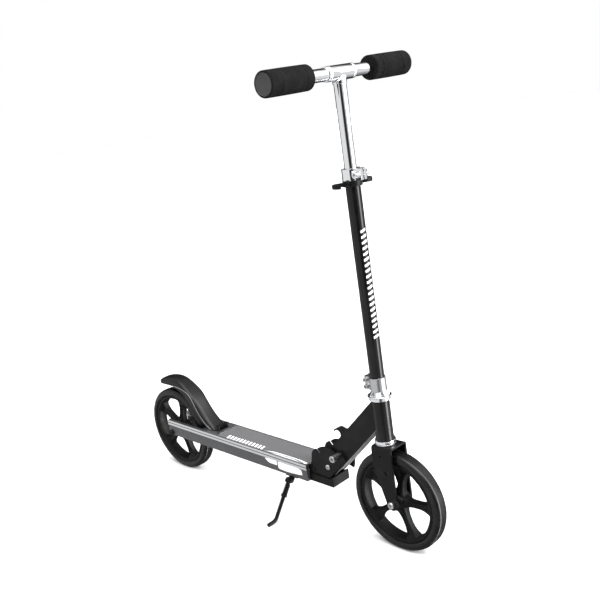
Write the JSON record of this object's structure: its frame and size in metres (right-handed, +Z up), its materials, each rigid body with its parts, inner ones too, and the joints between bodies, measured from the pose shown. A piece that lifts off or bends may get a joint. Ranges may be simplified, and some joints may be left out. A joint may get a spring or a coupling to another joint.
{
  "type": "kick scooter",
  "caption": "Folding kick scooter with large wheels, narrow aluminium deck, rear fender brake, kickstand, telescopic steering column and foam grips.",
  "frame": {"origin": "on the ground, midway along the scooter's bounding box, centred across it", "axes": "+X in the riding direction, +Y to the rider's left, +Z up"},
  "size_m": [0.856, 0.351, 0.9087],
  "materials": {
    "deck_aluminium": "brushed, clear anodised",
    "grip_surface": "coarse anti-slip",
    "black_paint": "satin black",
    "black_plastic": "fine texture",
    "tyre_rubber": "matt",
    "foam": "soft foam",
    "brake_rubber": "matt",
    "polished_chrome": "polished",
    "bare_aluminium": "satin",
    "zinc_steel": "zinc plated"
  },
  "bodies": {
    "deck": {"deck_extrusion": "deck_aluminium", "grip_tape": "grip_surface", "nose_block": "black_paint", "block_screws": "zinc_steel", "fold_bracket": "black_paint", "bracket_rivets": "zinc_steel", "pivot_bolt": "zinc_steel", "pivot_nut": "zinc_steel", "rear_axle": "zinc_steel", "rear_axle_nut": "zinc_steel", "rear_spacers": "zinc_steel", "fender_mount": "zinc_steel", "fender_pin": "zinc_steel", "fender_spring": "zinc_steel", "kickstand_bracket": "black_paint", "kickstand_bolt": "zinc_steel", "deck_screws": "zinc_steel"},
    "rear_wheel": {"rear_tyre": "tyre_rubber", "rear_wheel_core": "black_plastic", "rear_bearings": "zinc_steel"},
    "front_wheel": {"front_tyre": "tyre_rubber", "front_wheel_core": "black_plastic", "front_bearings": "zinc_steel"},
    "fender_brake": {"fender": "black_plastic", "brake_block": "brake_rubber"},
    "kickstand": {"kickstand_leg": "black_paint", "kickstand_spring": "zinc_steel"},
    "neck": {"neck": "black_paint", "pivot_bushing": "zinc_steel", "head_tube": "black_paint", "lower_cup": "polished_chrome", "upper_cup": "polished_chrome", "head_bearings": "zinc_steel"},
    "lock_slider": {"latch": "black_paint", "lock_rod": "zinc_steel", "lock_nut": "bare_aluminium", "fold_lever_pin": "zinc_steel"},
    "fold_cam_lever": {"fold_lever": "black_plastic"},
    "steering": {"fork": "black_paint", "crown_race": "bare_aluminium", "steerer_tube": "black_paint", "dust_cover": "polished_chrome", "lower_clamp": "bare_aluminium", "clamp_bolts": "zinc_steel", "outer_stem": "black_paint", "upper_clamp": "polished_chrome", "clamp_rod": "zinc_steel", "clamp_barrel": "polished_chrome", "clamp_lever_pin": "zinc_steel", "grip_clips": "black_plastic", "front_axle": "zinc_steel", "front_axle_nut": "zinc_steel", "front_spacers": "zinc_steel"},
    "clamp_cam_lever": {"clamp_lever": "bare_aluminium"},
    "handlebar": {"inner_stem": "polished_chrome", "handlebar_tee": "polished_chrome", "bar_tubes": "polished_chrome", "left_grip": "foam", "right_grip": "foam", "end_caps": "black_plastic"}
  },
  "joints": [
    {"name": "rear_wheel_spin", "type": "hinge", "parent": "deck", "child": "rear_wheel", "pos_m": [-0.328, 0, 0.1], "axis": [0, 1, 0], "continuous": true},
    {"name": "front_wheel_spin", "type": "hinge", "parent": "steering", "child": "front_wheel", "pos_m": [0.328, 0, 0.1], "axis": [0, 1, 0], "continuous": true},
    {"name": "fender_press", "type": "hinge", "parent": "deck", "child": "fender_brake", "pos_m": [-0.176, 0, 0.138], "axis": [0, -1, 0], "range_deg": [0, 1.95], "stiffness_Nm_per_rad": 15, "springref_deg": -2.86},
    {"name": "kickstand_swing", "type": "hinge", "parent": "deck", "child": "kickstand", "pos_m": [0.067, -0.037, 0.085], "axis": [-0.0727, 0.9087, -0.4111], "range_deg": [0, 75]},
    {"name": "fold", "type": "hinge", "parent": "deck", "child": "neck", "pos_m": [0.1705, 0, 0.1357], "axis": [0, -1, 0], "range_deg": [0, 84]},
    {"name": "lock_slide", "type": "slide", "parent": "neck", "child": "lock_slider", "axis": [0.6947, 0, 0.7193], "range_m": [0, 0.008], "stiffness_N_per_m": 600, "springref_m": -0.01},
    {"name": "fold_lever_swing", "type": "hinge", "parent": "lock_slider", "child": "fold_cam_lever", "pos_m": [0.20245, 0.0285, 0.16879], "axis": [0.9413, 0, -0.3375], "range_deg": [0, 100]},
    {"name": "steer", "type": "hinge", "parent": "neck", "child": "steering", "pos_m": [0.31101, 0, 0.09953], "axis": [-0.0279, 0, 0.9996], "range_deg": [-60, 60]},
    {"name": "clamp_lever_swing", "type": "hinge", "parent": "steering", "child": "clamp_cam_lever", "pos_m": [0.31526, 0.0145, 0.71739], "axis": [0.0279, 0, -0.9996], "range_deg": [0, 100]},
    {"name": "handlebar_height", "type": "slide", "parent": "steering", "child": "handlebar", "axis": [-0.0279, 0, 0.9996], "range_m": [-0.12, 0]}
  ]
}
